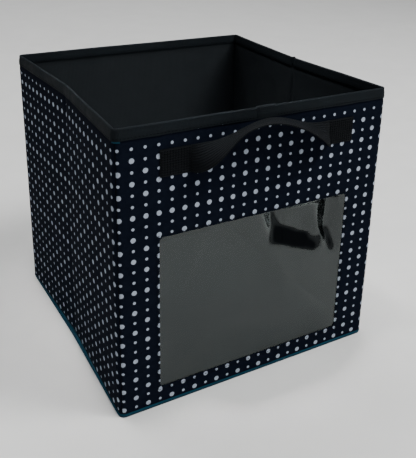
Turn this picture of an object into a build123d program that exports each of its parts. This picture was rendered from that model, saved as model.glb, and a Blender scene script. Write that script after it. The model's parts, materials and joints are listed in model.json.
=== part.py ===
"""A collapsible cube bin of printed cloth over stiff boards.

The back wall stands on the floor cloth. Each side wall is two halves with a crease between
them, so the front wall can be pushed back against the back wall while the sides fold inward.
A loose covered board lies on the floor and tips up against the back wall first.
Millimetres, +Z up, +Y to the back. The origin is the middle of the underside.
"""

from build123d import *
import math
import os

# ---- Driving dimensions ----
width = 280.0  # left to right, over the outer cloth
depth = 277.0  # front to back, over the outer cloth
height = 276.0  # floor to the top of the rim

cloth_thickness = 0.6
board_thickness = 2.0
lining_thickness = 0.6
corner_radius = 3.0  # upright outer corners of the front and back walls

rest_fold = 2.5  # degrees each side half is already folded inward
corner_pivot_inset = 2.2  # from the inner faces to the fold line at a corner
crease_pivot_outset = 1.2  # from the outer face to the fold line at the crease
corner_gap = 2.0  # between a side board and the front or back wall
crease_gap = 3.0  # from the crease line to the end of a board

binding_thickness = 0.8
binding_drop = 10.0  # how far the rim binding reaches down each face
binding_clearance = 0.5  # between the inner legs of two bindings at a corner
lap_length = 20.0  # where the two ends of the front binding overlap
lap_thickness = 0.7
lap_centre = 2.0  # from the middle of the front

floor_cloth_thickness = 0.6
insert_board_thickness = 2.0
insert_cloth_thickness = 0.3
insert_side_gap = 1.4  # from the insert to the narrowest place between the side walls
insert_depth = 260.0
insert_back_gap = 0.5  # from the insert to the back wall
insert_lift = 0.2  # between the insert and the floor cloth
fold_clearance = 0.3  # between the floor stack and the folding walls

window_width = 201.0
window_height = 154.0
window_bottom = 20.5  # floor to the lower edge of the window
window_corner = 4.0
pane_margin = 4.0  # how far the pane reaches behind the cloth round the window
pane_clearance = 0.5  # from the pane to the board round it
pane_thickness = 0.4

webbing_width = 24.0
webbing_thickness = 1.4
handle_span = 200.0  # over the outer ends of the sewn webbing
handle_end_length = 28.0
handle_drop = 34.6  # from the rim's top down to the middle of the webbing
handle_rise = 24.6  # how far the middle of the loop stands above its ends
handle_standoff = 2.2  # from the front cloth to the inner edge of the loop
handle_twist = 96.0  # degrees the webbing turns from its ends to its middle
handle_end_gap = 0.4  # between the loop and the sewn ends
strap_neck = 3.0  # width of the gathered webbing where the loop turns
strap_full_until = 0.35  # share of the half span that keeps the whole width
strap_neck_from = 0.70  # share of the half span where the neck starts
strap_sections = 20

# ---- Derived places ----
wall = cloth_thickness + board_thickness + lining_thickness
insert_thickness = insert_board_thickness + 2 * insert_cloth_thickness
insert_bottom = floor_cloth_thickness + insert_lift
insert_top = insert_bottom + insert_thickness
wall_bottom = insert_top + fold_clearance
panel_top = height - binding_thickness

corner_pivot = Vector(
    -(width / 2 - wall - corner_pivot_inset), depth / 2 - wall - corner_pivot_inset
)
link_offset = wall + corner_pivot_inset + crease_pivot_outset
fold = math.radians(rest_fold)
link_length = (corner_pivot.Y - link_offset * math.sin(fold)) / math.cos(fold)
crease_pivot = Vector(
    corner_pivot.X - link_offset * math.cos(fold) + link_length * math.sin(fold), 0
)
crease_face = crease_pivot.X + crease_pivot_outset  # outer face beside the crease
straight_crease = corner_pivot.Y - link_length  # the crease before the half is folded
half_end = depth / 2 - wall - corner_gap
insert_half_width = -(crease_face + wall + insert_side_gap)
insert_back = depth / 2 - wall - insert_back_gap
handle_z = height - handle_drop
loop_half_span = handle_span / 2 - handle_end_length - handle_end_gap


def block(x_range, y_range, z_range):
    """A box between pairs of coordinates."""
    spans = [x_range, y_range, z_range]
    sizes = [high - low for low, high in spans]
    middle = [(low + high) / 2 for low, high in spans]
    return Pos(*middle) * Box(*sizes)


def upright(outline, bottom, top):
    """A flat outline raised from bottom to top."""
    return extrude(Pos(0, 0, bottom) * outline, top - bottom)


def rounded_slab(grow, inner_y):
    """Plan of the back wall, its outer faces moved out by grow, from inner_y to its outside."""
    half = width / 2 + grow
    outer_y = depth / 2 + grow
    radius = corner_radius + grow
    with BuildSketch() as plan:
        with BuildLine():
            Line((-half, inner_y), (half, inner_y))
            Line((half, inner_y), (half, outer_y - radius))
            RadiusArc((half, outer_y - radius), (half - radius, outer_y), -radius)
            Line((half - radius, outer_y), (-half + radius, outer_y))
            RadiusArc((-half + radius, outer_y), (-half, outer_y - radius), -radius)
            Line((-half, outer_y - radius), (-half, inner_y))
        make_face()
    return plan.sketch


def back_wall_layers():
    """Cloth round the outside and ends, board, and lining on the inside."""
    inner = depth / 2 - wall
    whole = upright(rounded_slab(0, inner), wall_bottom, panel_top)
    core = upright(rounded_slab(-cloth_thickness, inner), wall_bottom, panel_top)
    far = width
    lining_zone = block((-far, far), (inner, inner + lining_thickness), (0, height))
    return {"outer_cloth": whole - core, "board": core - lining_zone, "lining": core & lining_zone}


def back_wall_binding():
    """Channel over the top edge, its inner leg ending clear of the side walls' bindings."""
    inner = depth / 2 - wall
    bottom = height - binding_drop
    leg_half = width / 2 - wall - binding_thickness - binding_clearance
    outside = upright(rounded_slab(binding_thickness, inner), bottom, height)
    panel = upright(rounded_slab(0, inner), bottom, panel_top)
    leg = block((-leg_half, leg_half), (inner - binding_thickness, inner), (bottom, height))
    return outside - panel + leg


def side_half_layers():
    """Back half of the left wall, before it is folded."""
    y_range = (straight_crease + crease_gap, half_end)
    z_range = (wall_bottom, panel_top)
    faces = [-width / 2]
    for thickness in (cloth_thickness, board_thickness, lining_thickness):
        faces.append(faces[-1] + thickness)
    names = ("outer_cloth", "board", "lining")
    return {
        name: block((faces[i], faces[i + 1]), y_range, z_range) for i, name in enumerate(names)
    }


def side_half_binding():
    """Channel over the top edge of the back half of the left wall, before it is folded."""
    y_range = (straight_crease + crease_gap, half_end)
    outer, inner = -width / 2, -width / 2 + wall
    grown = (outer - binding_thickness, inner + binding_thickness)
    channel = block(grown, y_range, (height - binding_drop, height))
    return channel - block((outer, inner), y_range, (0, panel_top))


def folded(solid):
    """Turns the back half of the left wall about its corner fold line to its rest fold."""
    return solid.rotate(Axis((corner_pivot.X, corner_pivot.Y, 0), (0, 0, 1)), rest_fold)


def window_block(grow, y_range):
    """The window's outline, moved out by grow on every side, between two depths."""
    outline = RectangleRounded(
        window_width + 2 * grow, window_height + 2 * grow, window_corner + grow
    )
    middle = window_bottom + window_height / 2
    plane = Plane(origin=(0, y_range[0], middle), x_dir=(1, 0, 0), z_dir=(0, 1, 0))
    return extrude(plane * outline, y_range[1] - y_range[0])


def floor_outline(shrink):
    """Plan of the floor, which follows the bowed side walls."""
    corner_x = width / 2 - shrink
    waist_x = -crease_face - shrink
    y = depth / 2 - shrink
    points = [(-corner_x, -y), (corner_x, -y), (waist_x, 0), (corner_x, y), (-corner_x, y)]
    points.append((-waist_x, 0))
    return make_face(Polyline(*points, close=True))


def ease(share):
    """1 in the middle of the loop, falling smoothly to 0 at its ends."""
    return (1 + math.cos(math.pi * share)) / 2


def strap_width(share):
    """Whole width in the middle of the loop, gathered to a neck where it turns."""
    run = (share - strap_full_until) / (strap_neck_from - strap_full_until)
    run = min(max(run, 0), 1)
    return strap_neck + (webbing_width - strap_neck) * ease(run)


def strap_section(along):
    """Section of the loop at -1 to 1 along its half span, turning flat towards the middle."""
    share = abs(along)
    turn = math.radians(handle_twist) * ease(share)
    section_width = strap_width(share)
    out = handle_standoff + section_width / 2 * math.sin(turn)
    centre = Vector(
        along * loop_half_span, -depth / 2 - out, handle_z + handle_rise * ease(share)
    )
    across = Vector(0, -math.sin(turn), -math.cos(turn))
    plane = Plane(origin=centre, x_dir=across, z_dir=(1, 0, 0))
    return plane * Rectangle(section_width, webbing_thickness)


def build_parts():
    """Every node's solids by name."""
    parts = {}

    for layer, solid in back_wall_layers().items():
        parts[f"back_{layer}"] = solid
        parts[f"front_{layer}"] = solid.mirror(Plane.XZ)
    parts["back_rim_binding"] = back_wall_binding()
    parts["front_rim_binding"] = parts["back_rim_binding"].mirror(Plane.XZ)

    halves = dict(side_half_layers(), rim_binding=side_half_binding())
    for layer, solid in halves.items():
        left_rear = folded(solid)
        parts[f"left_rear_{layer}"] = left_rear
        parts[f"left_front_{layer}"] = left_rear.mirror(Plane.XZ)
        parts[f"right_rear_{layer}"] = left_rear.mirror(Plane.YZ)
        parts[f"right_front_{layer}"] = left_rear.mirror(Plane.XZ).mirror(Plane.YZ)

    # Soft strips that join the boards: cloth sewn to lining.
    strip = cloth_thickness + lining_thickness
    slack = 0.2  # each side of a strip
    z_range = (wall_bottom, panel_top)
    crease_half = crease_gap - slack
    left_crease = block(
        (crease_face, crease_face + strip), (-crease_half, crease_half), z_range
    )
    corner_y = (half_end + slack, half_end + corner_gap - slack)
    back_left = block((-width / 2, -width / 2 + strip), corner_y, z_range)
    parts["left_crease_cloth"] = left_crease
    parts["right_crease_cloth"] = left_crease.mirror(Plane.YZ)
    parts["back_left_corner_cloth"] = back_left
    parts["back_right_corner_cloth"] = back_left.mirror(Plane.YZ)
    parts["front_left_corner_cloth"] = back_left.mirror(Plane.XZ)
    parts["front_right_corner_cloth"] = back_left.mirror(Plane.XZ).mirror(Plane.YZ)

    # Window: a hole through the front wall, and a clear pane sewn behind the cloth.
    front_face = -depth / 2
    pane_face = front_face + cloth_thickness
    through = (front_face - wall, front_face + 2 * wall)
    parts["front_outer_cloth"] -= window_block(0, through)
    parts["front_lining"] -= window_block(0, through)
    parts["front_board"] -= window_block(pane_margin + pane_clearance, through)
    parts["window_pane"] = window_block(pane_margin, (pane_face, pane_face + pane_thickness))

    # Lapped end of the front binding, wrapped over the binding itself.
    rim_outside = front_face - binding_thickness
    rim_inside = front_face + wall + binding_thickness
    lap_x = (lap_centre - lap_length / 2, lap_centre + lap_length / 2)
    lap = block(
        lap_x,
        (rim_outside - lap_thickness, rim_inside + lap_thickness),
        (height - binding_drop, height + lap_thickness),
    )
    parts["binding_lap"] = lap - block(lap_x, (rim_outside, rim_inside), (0, height))

    # Floor.
    parts["floor_cloth"] = upright(floor_outline(0), 0, floor_cloth_thickness)
    ring = upright(floor_outline(0), floor_cloth_thickness, insert_top)
    hole = upright(floor_outline(wall), floor_cloth_thickness, insert_top)
    parts["floor_welt"] = ring - hole

    # Loose insert: a board wrapped in lining cloth.
    skin = insert_cloth_thickness
    insert_front = insert_back - insert_depth
    insert_x = (-insert_half_width, insert_half_width)
    insert_y = (insert_front, insert_back)
    board_x = (-insert_half_width + skin, insert_half_width - skin)
    board_y = (insert_front + skin, insert_back - skin)
    board_z = (insert_bottom + skin, insert_top - skin)
    parts["insert_board"] = block(board_x, board_y, board_z)
    upper = block(insert_x, insert_y, (insert_bottom + skin, insert_top))
    parts["insert_top_cloth"] = upper - parts["insert_board"]
    parts["insert_bottom_cloth"] = block(
        insert_x, insert_y, (insert_bottom, insert_bottom + skin)
    )

    # Handle: two sewn ends and the loop between them.
    end_z = (handle_z - webbing_width / 2, handle_z + webbing_width / 2)
    end_y = (front_face - webbing_thickness, front_face)
    outer_x = -handle_span / 2
    left_end = block((outer_x, outer_x + handle_end_length), end_y, end_z)
    parts["handle_left_end"] = left_end
    parts["handle_right_end"] = left_end.mirror(Plane.YZ)
    stations = [2 * i / strap_sections - 1 for i in range(strap_sections + 1)]
    parts["handle_strap"] = loft([strap_section(s) for s in stations], ruled=True)
    return parts


os.makedirs("parts", exist_ok=True)
for node, solid in build_parts().items():
    export_step(solid, f"parts/{node}.step")

print("corner fold line", round(corner_pivot.X, 4), round(corner_pivot.Y, 4))
print("crease fold line", round(crease_pivot.X, 4), 0.0)
print("insert hinge", round(insert_back, 4), round(insert_top, 4))
print("handle hinge", round(-depth / 2 - handle_standoff, 4), round(handle_z, 4))
print("clear half width", round(-(crease_face + wall + binding_thickness), 3))
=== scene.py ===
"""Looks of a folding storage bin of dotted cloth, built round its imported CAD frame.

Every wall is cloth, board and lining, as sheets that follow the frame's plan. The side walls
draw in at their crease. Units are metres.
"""

import json
import math

import bmesh
import bpy
import numpy as np
from mathutils import Matrix, Vector, noise


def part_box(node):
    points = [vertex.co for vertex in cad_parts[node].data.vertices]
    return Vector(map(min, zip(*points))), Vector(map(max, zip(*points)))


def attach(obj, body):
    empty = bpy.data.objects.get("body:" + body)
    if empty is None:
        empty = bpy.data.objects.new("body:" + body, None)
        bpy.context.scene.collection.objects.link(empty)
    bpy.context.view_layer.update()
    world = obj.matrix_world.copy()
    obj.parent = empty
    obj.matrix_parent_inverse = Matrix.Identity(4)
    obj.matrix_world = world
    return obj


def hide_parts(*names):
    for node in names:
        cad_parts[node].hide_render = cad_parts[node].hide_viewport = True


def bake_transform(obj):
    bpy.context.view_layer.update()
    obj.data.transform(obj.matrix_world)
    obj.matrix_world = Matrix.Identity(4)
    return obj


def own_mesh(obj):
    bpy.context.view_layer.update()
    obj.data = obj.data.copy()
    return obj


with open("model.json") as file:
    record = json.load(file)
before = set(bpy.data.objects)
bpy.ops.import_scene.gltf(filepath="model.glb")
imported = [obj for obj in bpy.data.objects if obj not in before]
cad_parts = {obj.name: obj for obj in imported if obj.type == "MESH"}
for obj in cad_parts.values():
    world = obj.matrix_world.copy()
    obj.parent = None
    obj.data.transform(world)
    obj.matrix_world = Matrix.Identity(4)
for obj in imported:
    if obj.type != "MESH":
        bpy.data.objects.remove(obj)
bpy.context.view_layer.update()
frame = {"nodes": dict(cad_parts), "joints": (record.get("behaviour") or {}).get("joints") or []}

MM = 0.001

# ---- Sizes read from the frame ----
front_lo, front_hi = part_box("front_outer_cloth")
half_width = front_hi.x
half_depth = -front_lo.y
wall = front_hi.y - front_lo.y
foot = front_lo.z
binding_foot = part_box("front_rim_binding")[0].z
rim_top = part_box("front_rim_binding")[1].z
binding_out = -half_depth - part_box("front_rim_binding")[0].y
crease_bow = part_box("left_crease_cloth")[0].x + half_width
side_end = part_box("left_rear_outer_cloth")[1].y
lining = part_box("back_lining")[1].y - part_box("back_lining")[0].y
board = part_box("back_board")[1].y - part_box("back_board")[0].y
cloth = wall - lining - board
pane_lo, pane_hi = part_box("window_pane")
strap_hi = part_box("handle_strap")[1]
end_lo, end_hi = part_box("handle_left_end")
lap_lo, lap_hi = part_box("binding_lap")
insert_lo, insert_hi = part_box("insert_top_cloth")
floor_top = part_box("floor_cloth")[1].z
joints = {joint["name"]: joint for joint in frame["joints"]}

# ---- Sizes the frame doesn't hold ----
corner_radius = 6.3 * MM
inner_radius = 0.4 * MM  # of the inner face's corners
corner_turn = math.radians(50)  # the corner seam's place on the round, from the side wall
flat_half = half_width - corner_radius - 1.5 * MM  # the front is flat this far from its middle
lean = 1.2 * MM / half_width  # the walls draw in at the rim and spread at the floor
rim_bow = 2.5 * MM  # the side walls' creases draw in this much more at the rim
pane_margin = 4 * MM  # the pane reaches this far behind the cloth
window_corner = 4 * MM
cell = 5 * MM  # spacing of the sheets' grids
sheet_top = binding_foot + 1.5 * MM  # cloth, board and lining end inside the binding
cloth_foot = foot + 0.3 * MM  # lower edge of cloth and lining
board_foot = foot + 0.5 * MM
board_cell = 60 * MM  # spacing of the flat boards' grids
pane_cell = 2.2 * MM
pane_belly = 2.5 * MM  # the pane stands out this far at its middle
tape_cell = 0.6 * cell
tape = 0.7 * MM  # thickness of the rim binding
tape_pinch = 0.9 * MM  # the binding is this much thinner each side at its top
crease_press = 0.73  # share of the wall's inner thickness that is gone at the crease
floor_bow = 0.45  # share of the side walls' bow that their foot keeps
strap_turn = math.radians(96)
strap_skew = math.radians(14)
strap_rise = 12.2 * MM  # of the loop's inner edge
strap_gap = 2.2 * MM  # between the wall and the middle of the inner edge
thread = 0.28 * MM  # radius
thread_sides = 6
strap_columns = 11  # points across the loop
dot_pitch_along = 11.88 * MM
dot_pitch_down = 10.0 * MM
first_row = 18 * MM  # under the rim
front_first_column = 15.6 * MM  # from the left edge of the front
side_row_shift = 5 * dot_pitch_down  # the side walls are cut from another place in the print
side_first_column = 4.5 * MM  # from the corner seam
big_dot, small_dot = 2.3 * MM, 1.35 * MM


# ---- Meshes ----
def add_object(name, data):
    made = bpy.data.objects.new(name, data)
    bpy.context.scene.collection.objects.link(made)
    return made


def settle(points):
    """Draws points in towards the rim, most at the creases, and spreads them at the floor."""
    points = np.array(points, float)
    share = points[..., 2] / rim_top
    grow = 1 + lean * (1 - 2 * share)
    points[..., 0] *= grow
    points[..., 1] *= grow
    middle = np.clip(1 - np.abs(points[..., 1]) / half_depth, 0, 1)
    wide = points[..., 0] / half_width
    points[..., 0] -= rim_bow * wide**5 * middle * np.clip(share, 0, 1) ** 1.5
    return points


def make_piece(name, points, faces, material, uv=None, smooth=40):
    """An object of these points and faces, its loose points dropped and its normals outward."""
    mesh = bpy.data.meshes.new(name)
    mesh.from_pydata(settle(points).reshape(-1, 3).tolist(), [], faces)
    if uv is not None:
        layer = mesh.uv_layers.new(name="metres")
        corner_points = np.zeros(len(mesh.loops), int)
        mesh.loops.foreach_get("vertex_index", corner_points)
        layer.data.foreach_set("uv", np.asarray(uv, np.float32)[corner_points].ravel())
    bm = bmesh.new()
    bm.from_mesh(mesh)
    bmesh.ops.delete(bm, geom=[v for v in bm.verts if not v.link_faces], context="VERTS")
    bmesh.ops.recalc_face_normals(bm, faces=bm.faces)
    bm.to_mesh(mesh)
    bm.free()
    mesh.shade_smooth()
    mesh.set_sharp_from_angle(angle=math.radians(smooth))
    mesh.materials.append(material)
    return add_object(name, mesh)


def sheet_faces(rows, columns, hole=None):
    """Faces of a closed sheet of two grids, and its edges, with the cells of hole left out."""
    count = rows * columns
    index = np.arange(count).reshape(rows, columns)
    kept = np.ones((rows - 1, columns - 1), bool) if hole is None else ~hole
    faces = []
    for i, j in zip(*np.nonzero(kept)):
        a, b, c, d = index[i, j], index[i, j + 1], index[i + 1, j + 1], index[i + 1, j]
        faces.append((a, b, c, d))
        faces.append((d + count, c + count, b + count, a + count))
        sides = ((i - 1, j, a, b), (i, j + 1, b, c), (i + 1, j, c, d), (i, j - 1, d, a))
        for row, column, p, q in sides:
            inside = 0 <= row < rows - 1 and 0 <= column < columns - 1
            if not (inside and kept[row, column]):
                faces.append((q, p, p + count, q + count))
    return [tuple(int(k) for k in face) for face in faces]


def darken_seams(piece):
    """Faces where the print jumps from one wall's to the next become a dark seam."""
    piece.data.materials.append(THREAD)
    down = [point.uv.y for point in piece.data.uv_layers[0].data]
    for face in piece.data.polygons:
        levels = [down[k] for k in face.loop_indices]
        if max(levels) - min(levels) > side_row_shift / 2:
            face.material_index = 1


def thick_sheet(name, face, back, material, uv=None, hole=None, smooth=40, mirror=None):
    """A closed sheet between two grids of points, turned to another side by mirror."""
    face, back = (mirrored(grid, **(mirror or {})) for grid in (face, back))
    rows, columns = face.shape[:2]
    points = np.concatenate([face.reshape(-1, 3), back.reshape(-1, 3)])
    if uv is not None:
        uv = np.concatenate([uv.reshape(-1, 2)] * 2)
    faces = sheet_faces(rows, columns, hole)
    return make_piece(name, points, faces, material, uv, smooth)


def grid_uv(along, down):
    """Print distances of a grid's points, from those of its columns and rows."""
    return np.stack(np.meshgrid(along, down), -1)


def spaced(start, end, step, through=()):
    """Even steps from start to end that also pass through the given values."""
    stops = sorted({start, end, *[t for t in through if start < t < end]})
    values = [stops[0]]
    for a, b in zip(stops, stops[1:]):
        count = max(1, round((b - a) / step))
        values += [a + (b - a) * k / count for k in range(1, count + 1)]
    return np.array(values)


def ripple(seed, size, *place):
    """Smooth noise from about -1 to 1 with bumps of the given size."""
    scaled = [value / size for value in place] + [0] * (3 - len(place))
    return noise.noise(Vector(scaled) + Vector((seed * 7.3, seed * 3.1, seed * 5.7)))


def bell(value, breadth):
    """1 where value is 0, fading out within about twice the breadth."""
    return math.exp(-((value / breadth) ** 2))


def band(lower, upper, count):
    """Faces between two closed rings of points, given by their first points."""
    steps = [(j, (j + 1) % count) for j in range(count)]
    return [(lower + j, lower + k, upper + k, upper + j) for j, k in steps]


def smooth_step(low, high, value):
    share = min(max((value - low) / (high - low), 0), 1)
    return share * share * (3 - 2 * share)


# ---- Plans of the walls ----
def corner_round(inset):
    """Radius of the corner this far inside the outer face, and the front wall's end there."""
    radius = max(corner_radius - inset * (corner_radius - inner_radius) / wall, inner_radius)
    return radius, max(wall, inset + 0.3 * radius)


def round_off(inset, depth):
    """How far the corner's round draws the side wall in, this deep behind the front's face."""
    radius, _ = corner_round(inset)
    short = inset + radius - depth
    return radius - math.sqrt(radius**2 - short**2) if short > 0 else 0.0


def arc_turns(inset):
    """Directions of the plan's points round the corner, closer together at the corner seam."""
    radius, end = corner_round(inset)
    start = math.asin(min(max(inset + radius - end, 0) / radius, 1))
    shares = (0, 0.15, 0.23, 0.285, 0.385, 0.44, 0.52, 0.62, 0.75, 0.88, 1)
    return [start + (math.pi / 2 - start) * share for share in shares]


def front_plan(inset, across):
    """The front wall's plan this far inside its outer face, round both corners."""
    radius, _ = corner_round(inset)
    centre_x, centre_y = half_width - inset - radius, inset + radius
    left = [
        (-centre_x - radius * math.cos(turn), centre_y - radius * math.sin(turn))
        for turn in arc_turns(inset)
    ]
    middle = [(x, inset) for x in across]
    right = [(-x, y) for x, y in reversed(left)]
    plan = np.array(left + middle + right)
    plan[:, 1] -= half_depth
    return plan


def bow(depth):
    """How far a side wall stands in from straight."""
    softened = math.hypot(depth, 2 * MM)
    return crease_bow * max(0.0, 1 - softened / half_depth) + 2 * MM * crease_bow / half_depth


def pressed(inset, depth):
    """Inset of a side wall's layer: at the crease, without boards, its cloths lie close together."""
    inner = min(max(inset - cloth, 0), wall - cloth)
    return inset - crease_press * inner * smooth_step(3.4 * MM, 0.6 * MM, abs(depth))


def side_plan(inset, depths, bowed=1.0):
    """The left wall's plan this far inside its outer face, at these places from the middle."""
    x = [bowed * bow(y) + round_off(inset, half_depth - abs(y)) for y in depths]
    return np.array([(pressed(inset, y) - half_width + shift, y) for shift, y in zip(x, depths)])


def corner_plan(inset, steps=5):
    """From the front wall's end to the start of the left wall."""
    _, end = corner_round(inset)
    plan = []
    for share in np.linspace(0, 1, steps + 1):
        depth = end + (half_depth - side_end - end) * share
        x = inset - half_width + round_off(inset, depth) + bow(-side_end) * share
        plan.append((x, depth - half_depth))
    return np.array(plan)


def outward(plan):
    """Normals of a plan that runs from left to right along the front."""
    along = np.gradient(plan, axis=0)
    normal = np.stack([along[:, 1], -along[:, 0]], 1)
    return normal / np.linalg.norm(normal, axis=1, keepdims=True)


def run_length(plan):
    steps = np.linalg.norm(np.diff(plan, axis=0), axis=1)
    return np.concatenate([[0], np.cumsum(steps)])


def raise_plan(plan, heights, push=None, normal=None):
    """Grid of a plan at each height, pushed outward by push(run, height)."""
    run = run_length(plan)
    grid = np.zeros((len(heights), len(plan), 3))
    for i, z in enumerate(heights):
        grid[i, :, :2] = plan
        grid[i, :, 2] = z
        if push is not None:
            offsets = np.array([push(s, z) for s in run])
            grid[i, :, :2] += normal * offsets[:, None]
    return grid


def mirrored(grid, x=False, y=False):
    grid = grid.copy()
    if x:
        grid[..., 0] *= -1
    if y:
        grid[..., 1] *= -1
    return grid


# ---- Materials ----
def shader(name, colour, roughness, specular=0.3, sheen=0.0):
    material = bpy.data.materials.new(name)
    material.use_nodes = True
    bsdf = material.node_tree.nodes["Principled BSDF"]
    bsdf.inputs["Base Color"].default_value = (*colour, 1)
    bsdf.inputs["Roughness"].default_value = roughness
    bsdf.inputs["Specular IOR Level"].default_value = specular
    bsdf.inputs["Sheen Weight"].default_value = sheen
    return material, material.node_tree, bsdf


def wire(tree, value, socket):
    """Links a socket, or sets a plain value."""
    if isinstance(value, bpy.types.NodeSocket):
        tree.links.new(value, socket)
    elif value is not None:
        socket.default_value = value


def calc(tree, operation, *values):
    node = tree.nodes.new("ShaderNodeMath")
    node.operation = operation
    for value, socket in zip(values, node.inputs):
        wire(tree, value, socket)
    return node.outputs[0]


def ramp(tree, value, low, high, out_low=0.0, out_high=1.0):
    node = tree.nodes.new("ShaderNodeMapRange")
    node.interpolation_type = "SMOOTHSTEP"
    wire(tree, value, node.inputs["Value"])
    for name, number in zip(
        ("From Min", "From Max", "To Min", "To Max"), (low, high, out_low, out_high)
    ):
        node.inputs[name].default_value = number
    return node.outputs["Result"]


def blend_colour(tree, share, first, second):
    node = tree.nodes.new("ShaderNodeMix")
    node.data_type = "RGBA"
    wire(tree, share, node.inputs["Factor"])
    wire(tree, first if isinstance(first, bpy.types.NodeSocket) else (*first, 1), node.inputs["A"])
    wire(tree, second if isinstance(second, bpy.types.NodeSocket) else (*second, 1), node.inputs["B"])
    return node.outputs["Result"]


def tint(tree, bsdf, share, dark, light):
    """The shader's colour goes from dark to light with share."""
    wire(tree, blend_colour(tree, share, dark, light), bsdf.inputs["Base Color"])


def uv_metres(tree):
    node = tree.nodes.new("ShaderNodeUVMap")
    node.uv_map = "metres"
    split = tree.nodes.new("ShaderNodeSeparateXYZ")
    tree.links.new(node.outputs["UV"], split.inputs[0])
    return split.outputs[0], split.outputs[1]


def grain(tree, scale, detail=3.0, roughness=0.6):
    """Noise over the object's own place."""
    place = tree.nodes.new("ShaderNodeTexCoord")
    node = tree.nodes.new("ShaderNodeTexNoise")
    tree.links.new(place.outputs["Object"], node.inputs["Vector"])
    node.inputs["Scale"].default_value = scale
    node.inputs["Detail"].default_value = detail
    node.inputs["Roughness"].default_value = roughness
    return node.outputs["Fac"]


def ridges(tree, value, period):
    """A wave from 0 to 1 with the given period in metres."""
    turned = calc(tree, "MULTIPLY", value, 2 * math.pi / period)
    return calc(tree, "MULTIPLY_ADD", calc(tree, "SINE", turned), 0.5, 0.5)


def weave(tree, along, down, period):
    """Plain weave: threads over and under each other."""
    warp = ridges(tree, along, period)
    weft = ridges(tree, down, period)
    return calc(tree, "ABSOLUTE", calc(tree, "SUBTRACT", warp, weft))


def bump(tree, bsdf, height, depth, strength=1.0):
    node = tree.nodes.new("ShaderNodeBump")
    tree.links.new(height, node.inputs["Height"])
    node.inputs["Distance"].default_value = depth
    node.inputs["Strength"].default_value = strength
    tree.links.new(node.outputs["Normal"], bsdf.inputs["Normal"])


def dots(tree, along, down):
    """1 inside the printed dots: rows of small dots, and big ones in a pattern of seven rows."""
    u = calc(tree, "DIVIDE", along, dot_pitch_along)
    v = calc(tree, "DIVIDE", down, dot_pitch_down)
    column, row = calc(tree, "ROUND", u), calc(tree, "ROUND", v)
    off_u = calc(tree, "MULTIPLY", calc(tree, "SUBTRACT", u, column), dot_pitch_along)
    off_v = calc(tree, "MULTIPLY", calc(tree, "SUBTRACT", v, row), dot_pitch_down)
    distance = calc(
        tree,
        "SQRT",
        calc(tree, "ADD", calc(tree, "MULTIPLY", off_u, off_u), calc(tree, "MULTIPLY", off_v, off_v)),
    )
    odd = calc(tree, "FLOORED_MODULO", column, 2.0)
    phase = calc(tree, "FLOORED_MODULO", row, 7.0)
    full_row = calc(tree, "COMPARE", phase, 6.0, 0.1)
    upper = calc(tree, "COMPARE", phase, calc(tree, "ADD", odd, 1.0), 0.1)
    lower = calc(tree, "COMPARE", phase, calc(tree, "ADD", odd, 3.0), 0.1)
    big = calc(tree, "MAXIMUM", full_row, calc(tree, "MAXIMUM", upper, lower))
    radius = calc(tree, "MULTIPLY_ADD", big, big_dot - small_dot, small_dot)
    ragged = calc(tree, "MULTIPLY", calc(tree, "SUBTRACT", grain(tree, 900, 2.0), 0.5), 0.7 * MM)
    inside = calc(tree, "SUBTRACT", calc(tree, "ADD", radius, ragged), distance)
    return ramp(tree, inside, -0.16 * MM, 0.16 * MM)


def printed_cloth():
    material, tree, bsdf = shader("printed cloth", (0.003, 0.005, 0.014), 0.88, 0.02)
    along, down = uv_metres(tree)
    mask = dots(tree, along, down)
    threads = weave(tree, along, down, 0.9 * MM)
    mottle = grain(tree, 160, 4.0)
    navy = blend_colour(tree, mottle, (0.0018, 0.0031, 0.0072), (0.0062, 0.0088, 0.0165))
    white = blend_colour(tree, mottle, (0.34, 0.385, 0.475), (0.48, 0.53, 0.61))
    worn = blend_colour(tree, calc(tree, "MULTIPLY", threads, 0.35), white, (0.26, 0.31, 0.41))
    tint(tree, bsdf, mask, navy, worn)
    wire(tree, ramp(tree, mask, 0, 1, 0.88, 0.7), bsdf.inputs["Roughness"])
    raised = calc(tree, "MULTIPLY_ADD", mask, 0.5, threads)
    bump(tree, bsdf, calc(tree, "MULTIPLY_ADD", mottle, 0.8, raised), 0.12 * MM, 0.7)
    return material


def nonwoven(name, dark, light, pattern, depth):
    """Pressed nonwoven cloth with a fine grid of bonding points."""
    material, tree, bsdf = shader(name, dark, 0.85, 0.1)
    along, down = uv_metres(tree)
    points = calc(tree, "MULTIPLY", ridges(tree, along, pattern), ridges(tree, down, pattern))
    cloudy = grain(tree, 60, 5.0)
    tint(tree, bsdf, cloudy, dark, light)
    wire(tree, ramp(tree, cloudy, 0.3, 0.7, 0.72, 0.92), bsdf.inputs["Roughness"])
    height = calc(tree, "MULTIPLY_ADD", cloudy, 1.4, points)
    bump(tree, bsdf, height, depth, 0.8)
    return material


def webbing():
    """Ribbed webbing: narrow ribs along it and a weave across."""
    material, tree, bsdf = shader("black webbing", (0.006, 0.006, 0.007), 0.7, 0.08)
    along, down = uv_metres(tree)
    slope = calc(tree, "ADD", along, calc(tree, "MULTIPLY", calc(tree, "PINGPONG", down, 1.1 * MM), 1.6))
    chevrons = ridges(tree, slope, 1.5 * MM)
    ribs = ridges(tree, down, 2.2 * MM)
    height = calc(tree, "MULTIPLY_ADD", chevrons, 0.6, ribs)
    tone = calc(tree, "MULTIPLY", height, 0.6)
    tint(tree, bsdf, tone, (0.001, 0.0014, 0.002), (0.006, 0.0075, 0.0095))
    bump(tree, bsdf, height, 0.35 * MM, 0.9)
    return material


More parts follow.
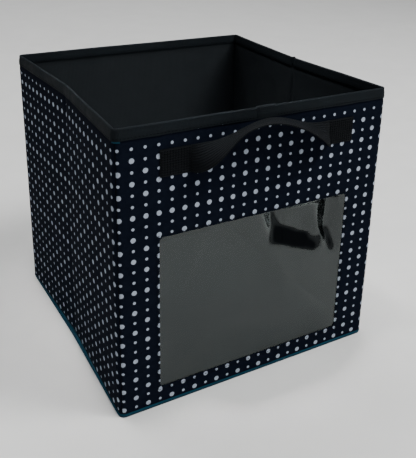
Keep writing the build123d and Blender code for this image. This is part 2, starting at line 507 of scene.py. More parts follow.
def clear_vinyl():
    """Clear sheet that mirrors more at a slant, with faint scuffs."""
    material = bpy.data.materials.new("clear vinyl")
    material.use_nodes = True
    tree = material.node_tree
    tree.nodes.remove(tree.nodes["Principled BSDF"])
    through = tree.nodes.new("ShaderNodeBsdfTransparent")
    through.inputs["Color"].default_value = (0.36, 0.37, 0.37, 1)
    gloss = tree.nodes.new("ShaderNodeBsdfGlossy")
    gloss.inputs["Color"].default_value = (0.92, 1, 1, 1)
    wire(tree, ramp(tree, grain(tree, 45, 5.0, 0.7), 0.4, 0.8, 0.03, 0.13), gloss.inputs["Roughness"])
    bump(tree, gloss, grain(tree, 22, 2.0), 0.5 * MM, 0.5)
    slant = tree.nodes.new("ShaderNodeLayerWeight")
    slant.inputs["Blend"].default_value = 0.5
    steep = calc(tree, "POWER", slant.outputs["Facing"], 5.0)
    mix = tree.nodes.new("ShaderNodeMixShader")
    wire(tree, calc(tree, "MULTIPLY_ADD", steep, 0.955, 0.045), mix.inputs[0])
    wire(tree, through.outputs[0], mix.inputs[1])
    wire(tree, gloss.outputs[0], mix.inputs[2])
    tree.links.new(mix.outputs[0], tree.nodes["Material Output"].inputs["Surface"])
    return material


def chipboard():
    material, tree, bsdf = shader("grey chipboard", (0.20, 0.18, 0.15), 0.9, 0.2)
    flecks = grain(tree, 500, 4.0)
    tint(tree, bsdf, flecks, (0.13, 0.12, 0.10), (0.30, 0.27, 0.23))
    bump(tree, bsdf, flecks, 0.1 * MM, 0.5)
    return material


def sewing_thread():
    material, tree, bsdf = shader("black thread", (0.003, 0.003, 0.004), 0.8, 0.03)
    twist = grain(tree, 2500, 2.0)
    tint(tree, bsdf, twist, (0.001, 0.0014, 0.002), (0.005, 0.006, 0.008))
    bump(tree, bsdf, twist, 0.05 * MM, 0.6)
    return material


PRINTED = printed_cloth()
LINING = nonwoven(
    "black lining", (0.010, 0.0125, 0.0145), (0.022, 0.0265, 0.030), 1.6 * MM, 0.12 * MM
)
TAPE = nonwoven(
    "black binding tape", (0.0022, 0.0034, 0.0046), (0.0095, 0.0135, 0.0165), 1.1 * MM, 0.18 * MM
)
WELT = nonwoven("teal floor cloth", (0.003, 0.024, 0.042), (0.010, 0.055, 0.09), 0.9 * MM, 0.12 * MM)
WEBBING = webbing()
VINYL = clear_vinyl()
CHIPBOARD = chipboard()
THREAD = sewing_thread()


# ---- Walls ----
window = {
    "left": pane_lo.x + pane_margin,
    "right": pane_hi.x - pane_margin,
    "foot": pane_lo.z + pane_margin,
    "top": pane_hi.z - pane_margin,
}
near_edge = (0, 1.3 * MM, 2.7 * MM, 4 * MM, 7 * MM)
window_columns = [window["left"] + d for d in near_edge] + [window["right"] - d for d in near_edge]
window_columns += [window["left"] - 4 * MM, window["right"] + 4 * MM]
window_rows = [window["foot"] + d for d in near_edge] + [window["top"] - d for d in near_edge]
window_rows += [window["foot"] - 4 * MM, window["top"] + 4 * MM]


front_length = run_length(front_plan(0, [0]))[-1]
seam_run = corner_radius * (corner_turn - arc_turns(0)[0])  # from the front's end to its seam


def under_binding(z):
    """The waves die out towards the binding, which holds the cloth flat."""
    return 1 - smooth_step(binding_foot - 14 * MM, binding_foot - 2 * MM, z)


def tuck(z):
    """The cloth goes in just below the binding, and leaves a dark line."""
    return 0.6 * MM * smooth_step(binding_foot - 3.5 * MM, binding_foot - 0.8 * MM, z)


def unevenness(seed, along, z, rise, breadth, small_rise, small_breadth):
    """Waves of cloth in two sizes, and puckers at its foot."""
    wave = rise * ripple(seed, breadth, along, z)
    wave += small_rise * ripple(seed + 1, small_breadth, along, z)
    pucker = 0.22 * MM * ripple(seed + 2, 7 * MM, along) * smooth_step(14 * MM, 0, z - foot)
    return wave + pucker


def front_push(seed, open_window):
    """Soft unevenness of the front or back cloth: gentle waves, flat beside the window."""

    def push(run, z):
        x = run - front_length / 2
        uneven = unevenness(seed, x, z, 0.45 * MM, 90 * MM, 0.16 * MM, 22 * MM)
        free = 1.0
        if open_window:
            gap = max(window["left"] - x, x - window["right"], window["foot"] - z, z - window["top"])
            free = smooth_step(2 * MM, 14 * MM, gap)
        seam = 0.9 * MM * bell(abs(x) - front_length / 2 + seam_run, 0.5 * MM)
        return free * (0.3 * MM + uneven * under_binding(z)) - seam - tuck(z)

    return push


def cells_between(across, heights, gap=0.0):
    """Cells of a grid within the window grown by gap."""
    middle_x = (across[:-1] + across[1:]) / 2
    middle_z = (heights[:-1] + heights[1:]) / 2
    in_x = (middle_x > window["left"] - gap) & (middle_x < window["right"] + gap)
    in_z = (middle_z > window["foot"] - gap) & (middle_z < window["top"] + gap)
    return in_z[:, None] & in_x[None, :]


def window_hole(across, heights, columns_before):
    """Cells of the front grid that the window leaves out."""
    hole = np.zeros((len(heights) - 1, len(across) - 1 + 2 * columns_before), bool)
    hole[:, columns_before:-columns_before or None] = cells_between(across, heights)
    return hole


def round_window(grid):
    """Moves the grid points on the window's edge onto its rounded corners."""
    for corner_x, way_x in ((window["left"], 1), (window["right"], -1)):
        for corner_z, way_z in ((window["foot"], 1), (window["top"], -1)):
            dx = (grid[..., 0] - corner_x) * way_x
            dz = (grid[..., 2] - corner_z) * way_z
            r = window_corner
            on_side = (np.abs(dx) < 1e-5) & (dz > 1e-5) & (dz < r)
            on_level = (np.abs(dz) < 1e-5) & (dx > 1e-5) & (dx < r)
            on_corner = (np.abs(dx) < 1e-5) & (np.abs(dz) < 1e-5)
            grid[..., 0][on_side] += way_x * (r - np.sqrt(r * r - (r - dz[on_side]) ** 2))
            grid[..., 2][on_level] += way_z * (r - np.sqrt(r * r - (r - dx[on_level]) ** 2))
            grid[..., 0][on_corner] += way_x * r * (1 - math.sqrt(0.5))
            grid[..., 2][on_corner] += way_z * r * (1 - math.sqrt(0.5))
    return grid


def cloth_uv(along, heights, row_shift=0.0):
    """Distances along the wall and down it, from the print's first dot."""
    down = rim_top - first_row - heights
    return grid_uv(along, down) + [0, row_shift]


tucked_rows = [binding_foot - d for d in (4 * MM, 2 * MM, 0.8 * MM)]


def end_wall(name, is_back):
    """Cloth, board and lining of the front or the back wall."""
    columns, rows, edge_columns, edge_rows = (), [], (), ()
    gap = pane_margin + 0.5 * MM
    if not is_back:
        columns, rows = window_columns, window_rows
        edge_columns = window["left"] - gap, window["right"] + gap
        edge_rows = window["foot"] - gap, window["top"] + gap
    rows = tucked_rows + rows
    heights = spaced(cloth_foot, sheet_top, cell, rows)
    across = spaced(-flat_half, flat_half, cell, columns)
    plan = front_plan(0, across)
    run = run_length(plan)
    push = front_push(3 if is_back else 1, not is_back)
    face = raise_plan(plan, heights, push, outward(plan))
    back = raise_plan(front_plan(cloth, across), heights, push, outward(plan))
    edge = (len(plan) - len(across)) // 2
    hole = None
    if not is_back:
        hole = window_hole(across, heights, edge)
        face, back = round_window(face), round_window(back)
    flat_start = (run[-1] - 2 * half_width) / 2
    uv = cloth_uv(run - flat_start - front_first_column, heights)
    for past_seam, from_seam in (
        (run < seam_run, seam_run - run),
        (run > run[-1] - seam_run, run - run[-1] + seam_run),
    ):
        beyond = cloth_uv(from_seam - side_first_column, heights, side_row_shift)
        uv[:, past_seam] = beyond[:, past_seam]
    mirror = {"y": is_back}
    outer = thick_sheet(f"{name}_printed_cloth", face, back, PRINTED, uv, hole, mirror=mirror)
    darken_seams(outer)

    inner_x = spaced(-half_width + wall, half_width - wall, cell, columns)
    inside = np.stack([inner_x, np.full_like(inner_x, wall - half_depth)], 1)
    inner_push = front_push(5 if is_back else 7, False)
    inward = np.array([[0.0, 1.0]] * len(inner_x))
    share = -0.3 if is_back else 0.5  # the back one stays clear of the raised insert
    lining_face = raise_plan(inside, heights, lambda s, z: share * inner_push(s, z), inward)
    lining_back = raise_plan(inside - [0, lining], heights)
    lining_hole = None
    if not is_back:
        lining_hole = window_hole(inner_x, heights, 0)
        lining_face, lining_back = round_window(lining_face), round_window(lining_back)
    lining_uv = grid_uv(inner_x, heights)
    inner = thick_sheet(
        f"{name}_inner_lining", lining_face, lining_back, LINING, lining_uv, lining_hole, mirror=mirror
    )

    board_half = flat_half + 1.5 * MM
    board_x = spaced(-board_half, board_half, board_cell, edge_columns)
    board_z = spaced(board_foot, sheet_top, board_cell, edge_rows)
    outer_y = cloth + 0.05 * MM - half_depth
    outside = np.stack([board_x, np.full_like(board_x, outer_y)], 1)
    thin = board - 0.1 * MM
    board_hole = None if is_back else cells_between(board_x, board_z, gap)
    stiffener = thick_sheet(
        f"{name}_stiffener",
        raise_plan(outside, board_z),
        raise_plan(outside + [0, thin], board_z),
        CHIPBOARD,
        hole=board_hole,
        mirror=mirror,
    )

    for piece, node, slot in (
        (outer, "outer_cloth", "printed_cloth"),
        (inner, "lining", "lining_cloth"),
        (stiffener, "board", "stiffener_board"),
    ):
        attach(piece, name)
        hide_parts(f"{name}_{node}")
    pane_area = (window["right"] - window["left"]) * (window["top"] - window["foot"])
    pane_area = 0 if is_back else pane_area


def bend_at_crease(piece):
    """Bakes the piece's placement into its points; it is parented to neither half of the side wall."""
    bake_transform(piece)


crease_places = [d * MM for d in (-3.2, -2, -1, -0.4, 0, 0.4, 1, 2, 3.2)]


def side_wall(side, seed):
    """Cloth, boards and lining of the left or the right wall."""
    mirror = {"x": side == "right"}
    heights = spaced(cloth_foot, sheet_top, cell, tucked_rows)
    depths = spaced(-side_end, side_end, cell, crease_places)[::-1]
    plan = side_plan(0, depths)
    normal = outward(plan)

    def dimple(y, z):
        level = bell(binding_foot - 9 * MM - z, 9 * MM)
        return 1.0 * MM * smooth_step(5 * MM, 0, abs(y)) * level

    def push(run, z):
        y = side_end - run
        uneven = unevenness(seed, y, z, 0.55 * MM, 80 * MM, 0.2 * MM, 20 * MM)
        near = smooth_step(5 * MM, 0, abs(y))
        level = uneven * (1 - near) * under_binding(z)
        return 0.3 * MM + level - 0.15 * MM * near - dimple(y, z) - tuck(z)

    face = raise_plan(plan, heights, push, normal)
    back = raise_plan(side_plan(cloth, depths), heights, push, normal)
    run = run_length(plan)
    strip = run_length(corner_plan(0))[-1]
    uv = cloth_uv(run[-1] - run + strip + seam_run - side_first_column, heights, side_row_shift)
    outer = thick_sheet(f"{side}_printed_cloth", face, back, PRINTED, uv, mirror=mirror)

    pleats = [d * MM for d in (1.2, 2.4, 3.8, 5.4, 7.2, 9.4, 12)]
    pleats = [way * (side_end - d) for d in pleats for way in (1, -1)]
    depths = spaced(-side_end, side_end, cell, crease_places + pleats)[::-1]

    def inner_push(run, z):
        y = side_end - run
        near_corner = smooth_step(16 * MM, 4 * MM, side_end - abs(y))
        gather = 0.9 * MM * abs(ripple(seed + 3, 3.5 * MM, y)) * near_corner
        wave = 0.5 * push(run, z) * smooth_step(0, 6 * MM, abs(y))
        return -wave - gather * smooth_step(15 * MM, 60 * MM, z) - dimple(y, z)

    inside = side_plan(wall, depths)
    run = run_length(inside)
    inner_face = raise_plan(inside, heights, inner_push, outward(inside))
    inner_back = raise_plan(side_plan(wall - lining, depths), heights)
    inner_uv = grid_uv(run, heights)
    inner = thick_sheet(
        f"{side}_inner_lining", inner_face, inner_back, LINING, inner_uv, mirror=mirror
    )
    for piece, node, slot in (
        (outer, "outer_cloth", "printed_cloth"),
        (inner, "lining", "lining_cloth"),
    ):
        bend_at_crease(piece)
        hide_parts(f"{side}_rear_{node}", f"{side}_front_{node}")
    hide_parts(f"{side}_crease_cloth")

    board_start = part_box("left_rear_board")[0].y
    for half, way in (("rear", 1), ("front", -1)):
        board_y = np.linspace(board_start, side_end - 0.3 * MM, 4) * way
        board_z = spaced(board_foot, sheet_top, board_cell)
        board_face = raise_plan(side_plan(cloth + 0.05 * MM, board_y), board_z)
        board_back = raise_plan(side_plan(cloth + board - 0.05 * MM, board_y), board_z)
        stiffener = thick_sheet(
            f"{side}_{half}_stiffener", board_face, board_back, CHIPBOARD, mirror=mirror
        )
        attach(stiffener, f"{side}_{half}")
        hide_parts(f"{side}_{half}_board")


# ---- Rim binding ----
def tape_profile():
    """Insets and heights of the binding's two faces, from its outer foot to its inner foot."""
    middle, half = wall / 2, wall / 2 + binding_out
    drop = rim_top - binding_foot
    top = half - tape_pinch
    side = [(half, -drop), (half, 2 * MM - drop), (half - 0.2 * tape_pinch, 5 * MM - drop)]
    side.append((top, -top - MM))

    def contour(thin):
        outer = [(middle - width + thin, z) for width, z in side]
        inner = [(middle + width - thin, z) for width, z in reversed(side)]
        turns = np.linspace(0, math.pi, 9)
        reach = top - thin
        over = [(middle - reach * math.cos(t), -top + reach * math.sin(t)) for t in turns]
        return outer + over + inner

    return contour(0), contour(tape)


def fold_run(contour):
    """Distance along the tape's fold at each point of its contour."""
    return np.cumsum([0] + [math.dist(a, b) for a, b in zip(contour, contour[1:])])


def tape_grid(plan_at, contour, seed):
    """Grid of the binding along a plan: one column of points per plan point."""
    grid = []
    for inset, height in contour:
        plan = plan_at(inset)
        run = run_length(plan)
        level = [rim_top + height + 0.35 * MM * ripple(seed, 55 * MM, s) for s in run]
        if height < -5 * MM:
            level = [z + 0.35 * MM * ripple(seed + 2, 11 * MM, s) for z, s in zip(level, run)]
        elif plan[0, 0] == plan[-1, 0]:
            level = [z + 0.9 * MM * bell(y, 2 * MM) for z, y in zip(level, plan[:, 1])]
        grid.append(np.column_stack([plan, level]))
    grid = np.array(grid)
    for j in range(grid.shape[1]):
        tug = 0.16 * MM * ripple(seed + 4, 6 * MM, j * tape_cell)
        grid[:4, j, :2] *= 1 + tug / half_width
        grid[-4:, j, :2] *= 1 - tug / half_width
    return grid


def binding(name, plan_at, seed, mirror):
    """A length of the tape folded over the rim."""
    outer_contour, inner_contour = tape_profile()
    face = tape_grid(plan_at, outer_contour, seed)
    back = tape_grid(plan_at, inner_contour, seed)
    run = run_length(plan_at(0))
    uv = grid_uv(run, fold_run(outer_contour))
    piece = thick_sheet(name, face, back, TAPE, uv, mirror=mirror)
    return piece


def all_bindings():
    across = spaced(-flat_half, flat_half, tape_cell)
    for name, mirror, seed in (("front", {}, 11), ("back", {"y": True}, 12)):
        piece = binding(f"{name}_binding", lambda inset: front_plan(inset, across), seed, mirror)
        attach(piece, name)
        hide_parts(f"{name}_rim_binding")
    depths = spaced(-side_end, side_end, tape_cell, crease_places)[::-1]
    for side, mirror, seed in (("left", {}, 13), ("right", {"x": True}, 14)):
        piece = binding(f"{side}_binding", lambda inset: side_plan(inset, depths), seed, mirror)
        bend_at_crease(piece)
        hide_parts(f"{side}_rear_rim_binding", f"{side}_front_rim_binding")


def bend_at_corner(piece, end, side):
    """Parents the front right piece to the front body, and bakes the others' placement into their
    points.
    """
    if (end, side) == ("front", "right"):
        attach(piece, "front")
        return
    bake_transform(piece)


def corners():
    """Seam strip and binding at the four upright corners."""
    heights = spaced(cloth_foot, sheet_top, cell)
    for end in ("front", "back"):
        for side in ("left", "right"):
            mirror = {"x": side == "right", "y": end == "back"}
            face = raise_plan(corner_plan(-0.2 * MM), heights)
            back = raise_plan(corner_plan(wall), heights)
            run = run_length(corner_plan(0))
            uv = cloth_uv(run + seam_run - side_first_column, heights, side_row_shift)
            strip = thick_sheet(
                f"{end}_{side}_corner_strip", face, back, PRINTED, uv, mirror=mirror
            )
            strip.data.materials.append(LINING)
            for cell_face in strip.data.polygons:
                if min(cell_face.vertices) >= len(heights) * len(run):
                    cell_face.material_index = 1
            bend_at_corner(strip, end, side)
            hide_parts(f"{end}_{side}_corner_cloth")
            turn = binding(f"{end}_{side}_corner_binding", corner_plan, 20, mirror)
            bend_at_corner(turn, end, side)


def lapped_end():
    """The end of the front binding, folded under and sewn over its start."""
    outer_contour, _ = tape_profile()
    across = spaced(lap_lo.x, lap_hi.x, 1.5 * MM)

    def grid(contour, lift):
        rows = []
        for inset, height in contour:
            out = lift if inset < wall / 2 else -lift
            up = lift if height > -2 * MM else 0
            y = inset - out - half_depth
            rows.append([(x, y, rim_top + height + up) for x in across])
        rows = np.array(rows)
        taper = np.clip((across - across[0]) / (3 * MM), 0.3, 1)
        base = np.array([[(x, inset - half_depth, rim_top + h) for x in across] for inset, h in contour])
        return base + (rows - base) * taper[None, :, None]

    uv = grid_uv(across, fold_run(outer_contour))
    over, under = grid(outer_contour, 0.7 * MM), grid(outer_contour, 0.05 * MM)
    piece = thick_sheet("binding_lapped_end", over, under, TAPE, uv)
    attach(piece, "front")
    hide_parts("binding_lap")


# ---- Floor ----
def teal_end():
    """The floor cloth's edge shows at the front left corner, just under the binding."""
    shares = np.linspace(0.3, 1, 8)
    radius, _ = corner_round(0)
    turns = [math.pi / 2 * share for share in shares]
    centre = (half_width - radius, half_depth - radius)
    plan = np.array(
        [(-centre[0] - radius * math.cos(t), -centre[1] - radius * math.sin(t)) for t in turns]
    )
    heights = binding_foot - np.array([1.7, 1.5, 1.0, 0.6]) * MM
    face = raise_plan(plan, heights, lambda s, z: 0.35 * MM, outward(plan))
    back = raise_plan(plan, heights, lambda s, z: -0.5 * MM, outward(plan))
    uv = grid_uv(run_length(plan), heights)
    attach(thick_sheet("teal_cloth_end", face, back, WELT, uv), "front")


def floor_ring(inset):
    """The whole plan at this inset, once round."""
    front = front_plan(inset, spaced(-flat_half, flat_half, cell))
    corner = corner_plan(inset)[1:]
    left = side_plan(inset, spaced(-side_end, side_end, cell), floor_bow)[1:-1]
    right_turn = np.concatenate([corner, left, corner[::-1] * [1, -1]]) * [-1, 1]
    back = front[::-1] * [1, -1]
    return np.concatenate([front, right_turn, back, right_turn[::-1] * [-1, 1]])


def floor_pieces():
    """The floor cloth, and the welt that shows under the walls."""
    ring = floor_ring(0)
    count = len(ring)
    shrink = (1, 0.97, 0.6, 0.25)
    points, uv = [], []
    for z in (floor_top, 0):
        for share in shrink:
            points += [(x * share, y * share, z) for x, y in ring]
            uv += [(x * share, y * share) for x, y in ring]
        points.append((0, 0, z))
        uv.append((0, 0))
    layer = count * len(shrink) + 1
    faces = []
    for top in (0, 1):
        base = top * layer
        for ring_start in range(base, base + (len(shrink) - 1) * count, count):
            faces += band(ring_start, ring_start + count, count)
        inner = base + (len(shrink) - 1) * count
        faces += [(inner + j, inner + (j + 1) % count, base + layer - 1) for j in range(count)]
    faces += band(0, layer, count)
    sheet = make_piece("floor_sheet", points, faces, LINING, uv)

    profile = [(0.4, 0), (-0.5, 0.2), (-0.8, 0.5), (-0.5, 0.85), (0.2, 1), (2, 1), (3, 1), (3, 0)]
    grid = []
    for inset, share in profile:
        level = floor_top + (foot + 0.25 * MM - floor_top) * share
        plan = floor_ring(inset * MM)
        run = run_length(plan)
        soft = [0.12 * MM * ripple(31, 9 * MM, s) for s in run]
        plan = plan * (1 + np.array(soft)[:, None] / half_width)
        grid.append(np.column_stack([plan, np.full(len(plan), level)]))
    grid = np.array(grid)
    rows = len(profile)
    faces = []
    for i in range(rows):
        faces += band(i * count, (i + 1) % rows * count, count)
    run = run_length(floor_ring(0))
    uv = grid_uv(run, np.arange(rows) * 0.8 * MM).reshape(-1, 2)
    welt = make_piece("floor_welt_strip", grid.reshape(-1, 3), faces, WELT, uv, smooth=60)
    for piece, node in ((sheet, "floor_cloth"), (welt, "floor_welt")):
        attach(piece, "back")
        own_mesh(piece)
        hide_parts(node)


def insert_pieces():
    """Black cloth over and under the loose floor board."""
    edge = [0.4 * MM, 1.2 * MM, 3 * MM]

    def lines(low, high):
        return spaced(low, high, 2 * cell, [low + e for e in edge] + [high - e for e in edge])

    xs, ys = lines(insert_lo.x, insert_hi.x), lines(insert_lo.y, insert_hi.y)
    board_lo, board_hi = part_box("insert_board")
    x, y = np.meshgrid(xs, ys)
    rim = np.minimum(
        np.minimum(x - insert_lo.x, insert_hi.x - x), np.minimum(y - insert_lo.y, insert_hi.y - y)
    )
    full = insert_hi.z - insert_lo.z
    rounded = np.clip(rim / (1.2 * MM), 0, 1)
    waves = np.vectorize(lambda a, b: 0.18 * MM * ripple(41, 60 * MM, a, b))(x, y)
    top = insert_lo.z + full * np.sqrt(1 - (1 - rounded) ** 2) + waves * rounded
    face = np.stack([x, y, top], -1)
    back = np.stack([x, y, np.minimum(top - 0.28 * MM, board_hi.z + 0.01 * MM)], -1)
    back[..., 2] = np.where(rim < 0.3 * MM, insert_lo.z - 0.01 * MM, back[..., 2])
    uv = np.stack([x, y], -1)
    upper = thick_sheet("insert_upper_cloth", face, back, LINING, uv, smooth=60)
    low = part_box("insert_bottom_cloth")[0].z
    under_face = np.stack([x, y, np.full_like(x, board_lo.z)], -1)
    under_back = np.stack([x, y, np.full_like(x, low)], -1)
    lower = thick_sheet("insert_lower_cloth", under_face, under_back, LINING, uv)
    for piece, node in ((upper, "insert_top_cloth"), (lower, "insert_bottom_cloth")):
        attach(piece, "insert")
        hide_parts(node)


# ---- Window ----
def fold_line(x, z, start, end, breadth, height):
    """A soft ridge between two points of the pane."""
    ax, az = start
    bx, bz = end
    length = math.hypot(bx - ax, bz - az)
    share = ((x - ax) * (bx - ax) + (z - az) * (bz - az)) / length**2
    off = ((x - ax) * (bz - az) - (z - az) * (bx - ax)) / length
    taper = smooth_step(-0.05, 0.2, share) * smooth_step(1.1, 0.6, share)
    return height * taper * bell(off, breadth)


# Strips where the slack pane dents inward and leans back toward its top edge: their two ends, each
# left of and below the window's upper right corner, and their half breadth, all in mm.
slack = ((79, 8, 77, 24, 8), (77, 25, 36, 44, 9), (16, 36, 10, 52, 9), (9, 8, 11, 40, 6))
# Ridges: their ends measured in the same way, their half breadth and their height, all in mm.
ridges_of_pane = ((97, 30, 60, 90, 9, 1.4), (156, 0, 190, 66, 7, 1.6))
fold_slope = 0.54  # how steeply the pane leans within a strip
fold_reach = 40 * MM  # the dent evens out within this distance above a strip
fold_drift = 0.3  # it drifts sideways by this share of the distance


def slackness(x, z):
    """1 inside the slack strips, 0 away from them, at x left of and z below the window's corner."""
    ragged = 2.6 * MM * ripple(61, 9 * MM, x, z)
    most = 0.0
    for ax, az, bx, bz, breadth in np.array(slack) * MM:
        share = ((x - ax) * (bx - ax) + (z - az) * (bz - az)) / ((bx - ax) ** 2 + (bz - az) ** 2)
        share = min(max(share, 0), 1)
        off = math.hypot(x - ax - share * (bx - ax), z - az - share * (bz - az)) + ragged
        most = max(most, smooth_step(breadth + 2 * MM, breadth - 2 * MM, off))
    return most


def window_sheet():
    """The clear pane: a shallow belly, two soft ridges and slack near its top right corner."""
    xs = spaced(pane_lo.x, pane_hi.x, pane_cell)
    zs = spaced(pane_lo.z, pane_hi.z, pane_cell)
    left, right, top = window["left"], window["right"], window["top"]

    def lift(x, z):
        edge = min(x - left, right - x, z - window["foot"], top - z)
        free = smooth_step(0, 6 * MM, edge)
        waves = 0.5 * MM * ripple(51, 70 * MM, x, z) + 0.25 * MM * ripple(52, 30 * MM, x, z)
        folds = 0
        for a, b, c, d, breadth, rise in ridges_of_pane:
            start = (right - a * MM, top - b * MM)
            folds += fold_line(x, z, start, (right - c * MM, top - d * MM), breadth * MM, rise * MM)
        hem = smooth_step(0, 14 * MM, min(right - x, x - left)) * smooth_step(0, 5 * MM, edge)
        belly = pane_belly * smooth_step(0, 55 * MM, edge)
        return free * (waves + folds) + hem * slack_level[(x, z)] + belly

    # Depth of the slack: it grows up each strip, evens out above it, and is softened sideways.
    levels = np.zeros((len(zs), len(xs)))
    for j in range(1, len(zs)):
        rise = zs[j] - zs[j - 1] if zs[j] < top else 0
        marked = [slackness(right - x, top - zs[j]) for x in xs]
        below = np.interp(xs + fold_drift * rise, xs, levels[j - 1])
        levels[j] = (below - fold_slope * np.array(marked) * rise) * math.exp(-rise / fold_reach)
    blur = np.exp(-(((xs[:, None] - xs[None, :]) / (6 * MM)) ** 2))
    levels = levels @ (blur / blur.sum(axis=0))
    slack_level = {(x, z): levels[j, i] for j, z in enumerate(zs) for i, x in enumerate(xs)}

    face = np.array([[(x, pane_lo.y - lift(x, z), z) for x in xs] for z in zs])
    back = face + [0, pane_hi.y - pane_lo.y, 0]
    uv = grid_uv(xs, zs)
    pane = thick_sheet("window_vinyl", face, back, VINYL, uv, smooth=60)
    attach(pane, "front")
    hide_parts("window_pane")


# ---- Handle ----
loop_joint = joints["handle_swing"]
axis_height = loop_joint["pos_m"][2]
web_width = end_hi.z - end_lo.z
web_thick = end_hi.y - end_lo.y
loop_half = strap_hi.x


def strap_frame(along):
    """Middle of the loop and its direction across, from -1 to 1 along it."""
    share = min((1 - abs(along)) / 0.65, 1)
    turn = strap_turn * math.sin(math.pi / 2 * share**0.75)
    turn -= strap_skew * math.sin(math.pi * along)
    rise = strap_rise * (1 + math.cos(math.pi * min(abs(along - 0.05) / 0.8, 1))) / 2
    out = web_thick / 2 + (strap_gap - web_thick / 2) * share
    across = Vector((0, -math.sin(turn), -math.cos(turn)))
    inner = Vector((along * loop_half, -half_depth - out, axis_height + web_width / 2 + rise))
    return inner + across * web_width / 2, across


def strap_half(name, stations):
    faces, backs, lengths = [], [], [0.0]
    spots = [strap_frame(s) for s in stations]
    for k, (middle, across) in enumerate(spots):
        ahead = spots[min(k + 1, len(spots) - 1)][0]
        behind = spots[max(k - 1, 0)][0]
        along = (ahead - behind).normalized()
        through = along.cross(across).normalized()
        row_face, row_back = [], []
        for share in np.linspace(-0.5, 0.5, strap_columns):
            camber = 0.8 * MM * (1 - 4 * share * share) * (1 - stations[k] ** 2)
            thin = web_thick / 2 * (1 - 0.35 * abs(2 * share) ** 6)
            spot = middle + across * web_width * share + through * camber
            row_face.append(spot + through * thin)
            row_back.append(spot - through * thin)
        faces.append(row_face)
        backs.append(row_back)
        if k:
            lengths.append(lengths[-1] + (middle - spots[k - 1][0]).length)
    widths = np.linspace(0, web_width, strap_columns)
    uv = grid_uv(widths, lengths)[..., ::-1]
    piece = thick_sheet(name, np.array(faces), np.array(backs), WEBBING, uv, smooth=60)
    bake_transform(piece)
    return piece


def handle():
    """Sewn ends, and the loop in two halves that meet at its middle."""
    left = strap_half("handle_loop_left", np.linspace(-1, 0, 36))
    strap_half("handle_loop_right", np.linspace(0, 1, 36))
    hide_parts("handle_strap")
    for side, way in (("left", -1), ("right", 1)):
        xs = spaced(loop_half - 0.1 * MM, -end_lo.x, 2 * MM) * way
        zs = spaced(end_lo.z, end_hi.z, 2 * MM)
        x, z = np.meshgrid(xs, zs)
        rim = np.minimum(np.minimum(z - end_lo.z, end_hi.z - z), -end_lo.x - np.abs(x))
        sunk = 0.25 * MM * np.vectorize(lambda a, b: ripple(61, 4 * MM, a, b))(x, z)
        level = end_lo.y + 0.45 * MM * (1 - np.clip(rim / (1.2 * MM), 0, 1)) + sunk * 0.5
        face = np.stack([x, level, z], -1)
        back = np.stack([x, np.full_like(x, end_hi.y - 0.7 * MM), z], -1)
        uv = np.stack([np.abs(x), z - end_lo.z], -1)
        piece = thick_sheet(f"handle_sewn_end_{side}", face, back, WEBBING, uv, smooth=60)
        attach(piece, "front")
        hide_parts(f"handle_{side}_end")


# ---- Stitches ----
def stitch_line(points, normals, step, share=0.62, lift=0.1 * MM):
    """Short spindles of thread along a line of points: (points, faces)."""
    points = np.array(points, float)
    normals = np.array(normals, float)
    run = np.concatenate([[0], np.cumsum(np.linalg.norm(np.diff(points, axis=0), axis=1))])
    count = max(1, round(run[-1] / step))
    step = run[-1] / count
    verts, faces = [], []
    for k in range(count):
        centre_run = (k + 0.5) * step
        ends = [centre_run - share * step / 2, centre_run + share * step / 2]
        a, b = [np.array([np.interp(e, run, points[:, i]) for i in range(3)]) for e in ends]
        normal = np.array([np.interp(centre_run, run, normals[:, i]) for i in range(3)])
        along = (b - a) / np.linalg.norm(b - a)
        aside = np.cross(along, normal)
        base = len(verts)
        for t, fat in ((0, 0.35), (0.2, 0.9), (0.5, 1.0), (0.8, 0.9), (1, 0.35)):
            middle = a + (b - a) * t + normal * (lift * math.sin(math.pi * t))
            for turn in range(thread_sides):
                angle = turn * 2 * math.pi / thread_sides
                spoke = aside * math.cos(angle) + normal * math.sin(angle)
                verts.append(middle + spoke * thread * fat)
        last = base + 4 * thread_sides
        for ring_start in range(base, last, thread_sides):
            faces += band(ring_start, ring_start + thread_sides, thread_sides)
        faces.append(tuple(base + t for t in reversed(range(thread_sides))))
        faces.append(tuple(last + t for t in range(thread_sides)))
    return verts, faces


def stitches(name, lines, step, share=0.62):
    """One piece of thread for several lines, each a pair of points and normals."""
    verts, faces = [], []
    for points, normals in lines:
        more, more_faces = stitch_line(points, normals, step, share)
        faces += [tuple(k + len(verts) for k in face) for face in more_faces]
        verts += more
    return make_piece(name, np.array(verts), faces, THREAD, smooth=80)


def rim_line(plan_at, inset, drop, inward, mirror):
    """Line along a wall's binding, with its normals."""
    plan = plan_at(inset)
    normal = outward(plan) * (-1 if inward else 1)
    points = np.column_stack([plan, np.full(len(plan), rim_top - drop)])
    normals = np.column_stack([normal, np.zeros(len(plan))])
    return mirrored(points, **mirror), mirrored(normals, **mirror)


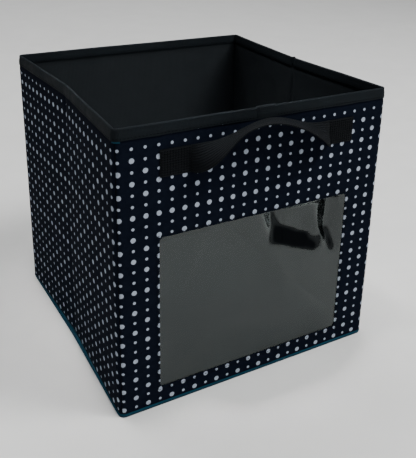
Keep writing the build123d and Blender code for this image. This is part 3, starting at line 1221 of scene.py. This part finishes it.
def all_stitches():
    drop = rim_top - binding_foot - 1.6 * MM
    across = spaced(-flat_half, flat_half, cell)
    depths = spaced(-side_end, side_end, cell, (0,))[::-1]
    outside, inside = -binding_out, wall + binding_out

    def along_rim(name, plan_at, mirror):
        """Stitches outside and inside along one wall's binding."""
        faces = ((outside, False), (inside, True))
        lines = [rim_line(plan_at, inset, drop, inward, mirror) for inset, inward in faces]
        return stitches(f"{name}_binding_stitches", lines, 3.2 * MM)

    for name, mirror in (("front", {}), ("back", {"y": True})):
        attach(along_rim(name, lambda i: front_plan(i, across), mirror), name)
    for side, mirror in (("left", {}), ("right", {"x": True})):
        bend_at_crease(along_rim(side, lambda i: side_plan(i, depths), mirror))

    gap = 2.2 * MM
    x0, x1 = window["left"] - gap, window["right"] + gap
    z0, z1 = window["foot"] - gap, window["top"] + gap
    y = -half_depth - 0.65 * MM
    ring = [(x0, y, z0), (x1, y, z0), (x1, y, z1), (x0, y, z1), (x0, y, z0)]
    sides = []
    for a, b in zip(ring, ring[1:]):
        points = [np.array(a) + (np.array(b) - np.array(a)) * t for t in np.linspace(0, 1, 30)]
        sides.append((points, [(0, -1, 0)] * 30))
    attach(stitches("window_stitches", sides, 2.8 * MM, 0.7), "front")

    for side, way in (("left", -1), ("right", 1)):
        rows = []
        for x in np.linspace(loop_half + 1.6 * MM, -end_lo.x - 1.6 * MM, 11):
            points = [(way * x, end_lo.y - 0.1 * MM, z) for z in (end_lo.z + MM, end_hi.z - MM)]
            rows.append((points, [(0, -1, 0)] * 2))
        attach(stitches(f"handle_{side}_stitches", rows, 1.9 * MM, 0.8), "front")


# ---- Surroundings ----
def floor_and_lights():
    material, tree, bsdf = shader("pale floor", (0.7, 0.7, 0.69), 0.7, 0.25)
    cloudy = grain(tree, 9, 6.0, 0.65)
    tint(tree, bsdf, cloudy, (0.78, 0.78, 0.76), (0.90, 0.90, 0.88))
    wire(tree, ramp(tree, grain(tree, 40, 4.0), 0.3, 0.7, 0.5, 0.75), bsdf.inputs["Roughness"])
    mesh = bpy.data.meshes.new("ground")
    reach = 4.5
    square = [(-reach, -reach, 0), (reach, -reach, 0), (reach, reach, 0), (-reach, reach, 0)]
    mesh.from_pydata(square, [], [(0, 1, 2, 3)])
    mesh.materials.append(material)
    add_object("ground", mesh)

    world = bpy.data.worlds.new("soft room")
    world.use_nodes = True
    tree = world.node_tree
    direction = tree.nodes.new("ShaderNodeTexCoord")
    split = tree.nodes.new("ShaderNodeSeparateXYZ")
    tree.links.new(direction.outputs["Generated"], split.inputs[0])
    height = ramp(tree, split.outputs["Z"], 0.03, 0.15)
    colour = blend_colour(tree, height, (0.36, 0.37, 0.38), (0.055, 0.06, 0.072))
    tree.links.new(colour, tree.nodes["Background"].inputs["Color"])
    bpy.context.scene.world = world

    for name, place, size, power, spread in (
        ("key", (1.0, -0.9, 1.9), 0.7, 38, 180),
        ("fill", (0.3, -1.5, 2.2), 0.9, 16, 180),
        ("top", (-0.2, 1.4, 4.0), 3.0, 140, 180),
        ("inside", (-0.11, -0.06, 1.0), 0.12, 0.45, 27),
    ):
        light = bpy.data.lights.new(name, "AREA")
        light.shape = "SQUARE"
        light.size = size
        light.energy = power
        light.spread = math.radians(spread)
        lamp = add_object(name, light)
        lamp.location = place
        aim = Vector((0, 0, 0.12)) - Vector(place)
        lamp.rotation_euler = aim.to_track_quat("-Z", "Y").to_euler()


def camera():
    """Seen from the front left, above the rim."""
    heading, drop, roll = (math.radians(angle) for angle in (29.6, 21.9, 1.2))
    place = Vector((-0.3132, -0.5926, 0.4468))
    forward = Vector(
        (math.sin(heading) * math.cos(drop), math.cos(heading) * math.cos(drop), -math.sin(drop))
    )
    level = forward.cross(Vector((0, 0, 1))).normalized()
    up = level.cross(forward)
    right = level * math.cos(roll) + up * math.sin(roll)
    lens = bpy.data.cameras.new("camera")
    lens.lens = 53.1
    lens.sensor_width = 36
    lens.shift_y = -0.15
    lens.clip_start = 0.01
    eye = add_object("camera", lens)
    turned = Matrix((right, right.cross(forward), -forward)).transposed().to_4x4()
    eye.matrix_world = Matrix.Translation(place) @ turned
    bpy.context.scene.camera = eye


end_wall("front", False)
end_wall("back", True)
side_wall("left", 71)
side_wall("right", 81)
all_bindings()
corners()
lapped_end()
teal_end()
floor_pieces()
insert_pieces()
window_sheet()
handle()
all_stitches()
frame["nodes"]["insert_board"].data.materials.clear()
frame["nodes"]["insert_board"].data.materials.append(CHIPBOARD)
floor_and_lights()
camera()
